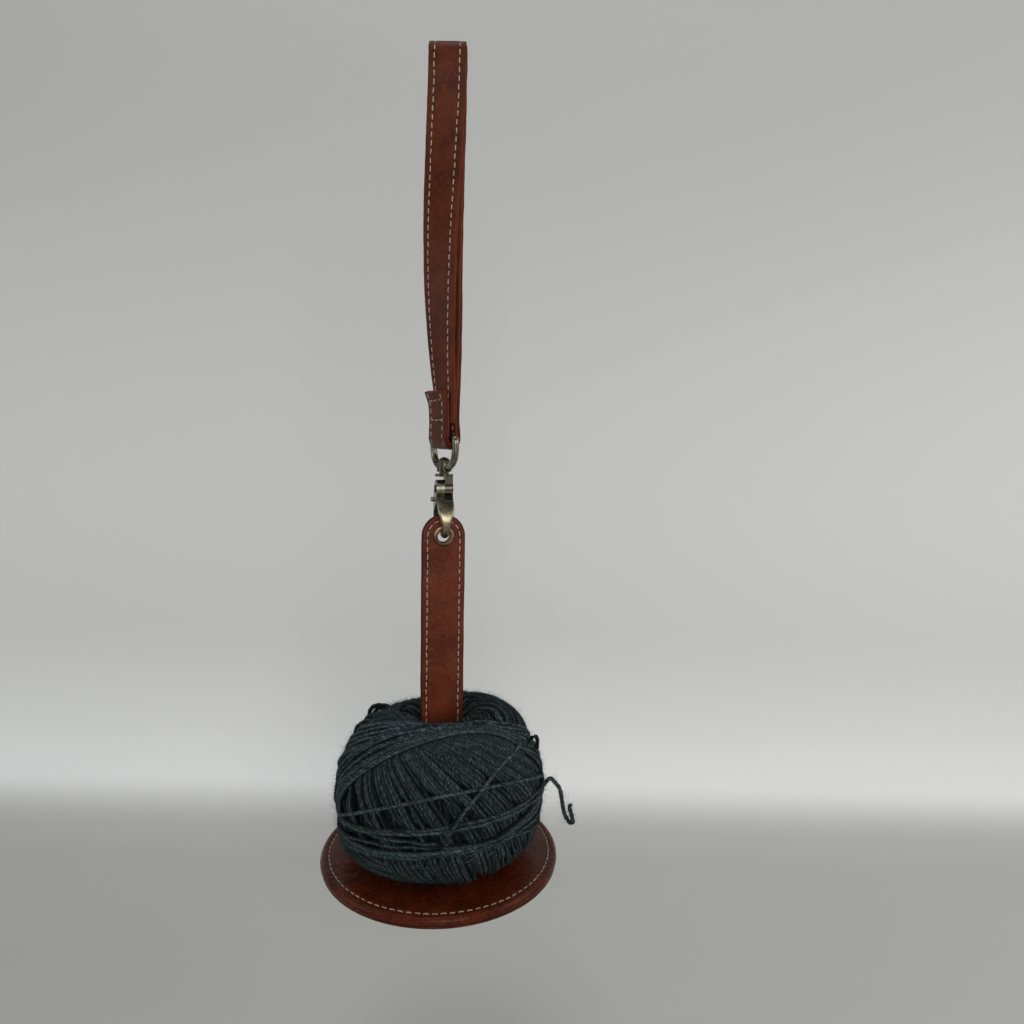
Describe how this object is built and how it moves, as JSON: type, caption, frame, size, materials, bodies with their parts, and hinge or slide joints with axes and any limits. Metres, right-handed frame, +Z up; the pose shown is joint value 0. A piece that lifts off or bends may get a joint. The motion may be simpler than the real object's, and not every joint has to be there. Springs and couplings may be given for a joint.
{
  "type": "hanging yarn holder",
  "caption": "Hanging yarn holder: a leather wrist loop, swivel snap hook, and a flat leather post on a round base that carries a wound ball of yarn.",
  "frame": {"origin": "centre of the base's underside", "axes": "+Z up the post to the wrist loop; -Y is the front, the side the post's face looks to"},
  "size_m": [0.1507, 0.14, 0.4601],
  "materials": {
    "strap_leather": "satin brown, darker at the turned edges",
    "strap_lining_leather": "satin brown",
    "post_leather": "glossy cognac brown, creased",
    "base_leather": "glossy dark brown, darker at the middle",
    "board": "matte",
    "thread": "waxed cream thread",
    "antique_brass": "antique, dark in the hollows and polished on the crests",
    "spring_steel": "drawn wire",
    "yarn": "plied wool, slate teal, heathered, with a fuzzy halo"
  },
  "bodies": {
    "wrist_strap": {"strap_outer_leather": "strap_leather", "strap_lining": "strap_lining_leather", "strap_stitching": "thread"},
    "swivel_ring": {"swivel_eye": "antique_brass"},
    "snap_hook": {"hook_body": "antique_brass", "swivel_stud": "antique_brass", "trigger_pin": "antique_brass", "trigger_spring": "spring_steel"},
    "trigger_lever": {"trigger": "antique_brass"},
    "holder": {"post_front_ply": "post_leather", "post_back_ply": "post_leather", "post_stitching": "thread", "eyelet": "antique_brass", "eyelet_washer": "antique_brass", "base_top_leather": "base_leather", "base_board": "board", "base_sole_leather": "base_leather", "base_stitching": "thread"},
    "yarn": {"yarn_ball": "yarn", "yarn_tail": "yarn"}
  },
  "joints": [
    {"name": "ring_in_fold", "type": "hinge", "parent": "wrist_strap", "child": "swivel_ring", "pos_m": [0, 0, 0.25], "axis": [0.5446, -0.8387, 0], "range_deg": [-75, 75]},
    {"name": "swivel", "type": "hinge", "parent": "swivel_ring", "child": "snap_hook", "pos_m": [0, 0, 0.2295], "axis": [0, 0, 1], "continuous": true},
    {"name": "trigger_press", "type": "hinge", "parent": "snap_hook", "child": "trigger_lever", "pos_m": [-0.00024, 0.00097, 0.221], "axis": [-0.9703, -0.2419, 0], "range_deg": [0, 15], "stiffness_Nm_per_rad": 0.05, "springref_deg": -11.46},
    {"name": "post_swing", "type": "hinge", "parent": "snap_hook", "child": "holder", "pos_m": [0, 0, 0.1953], "axis": [-0.2419, 0.9703, 0], "range_deg": [-75, 75]},
    {"name": "ball_lift", "type": "slide", "parent": "holder", "child": "yarn", "axis": [0, 0, 1], "range_m": [0, 0.08]}
  ]
}
